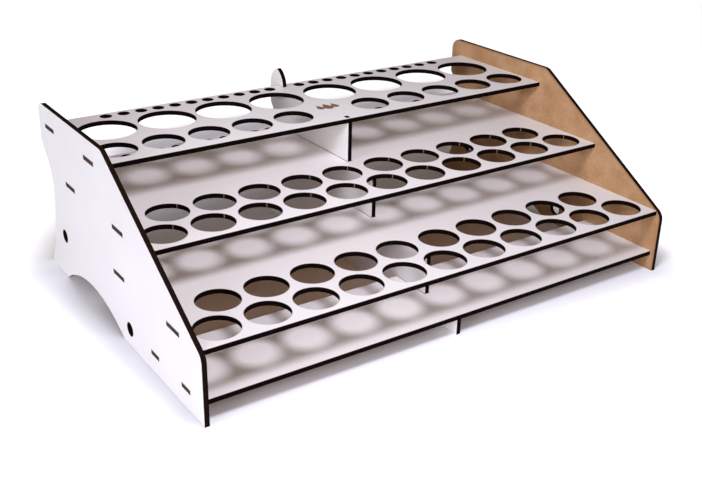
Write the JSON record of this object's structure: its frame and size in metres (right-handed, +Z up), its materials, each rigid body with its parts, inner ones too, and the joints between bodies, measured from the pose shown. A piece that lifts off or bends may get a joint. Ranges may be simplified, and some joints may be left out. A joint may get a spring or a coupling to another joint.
{
  "type": "paint bottle stand",
  "caption": "Flat-pack desk stand of slotted board: stepped shelves with round holes for paint bottles, jars and brushes.",
  "frame": {"origin": "on the table, under the middle of the footprint", "axes": "+X to the right along the plates, +Y to the back, +Z up"},
  "size_m": [0.349, 0.2358, 0.1166],
  "materials": {
    "coated_board": "3 mm fibreboard with a satin white coat on one face, bare brown on the other, and laser-charred edges"
  },
  "bodies": {
    "root": {"left_side_panel": "coated_board", "right_side_panel": "coated_board", "centre_panel": "coated_board", "base_plate": "coated_board", "lower_plate": "coated_board", "middle_plate": "coated_board", "top_plate": "coated_board"}
  },
  "joints": []
}
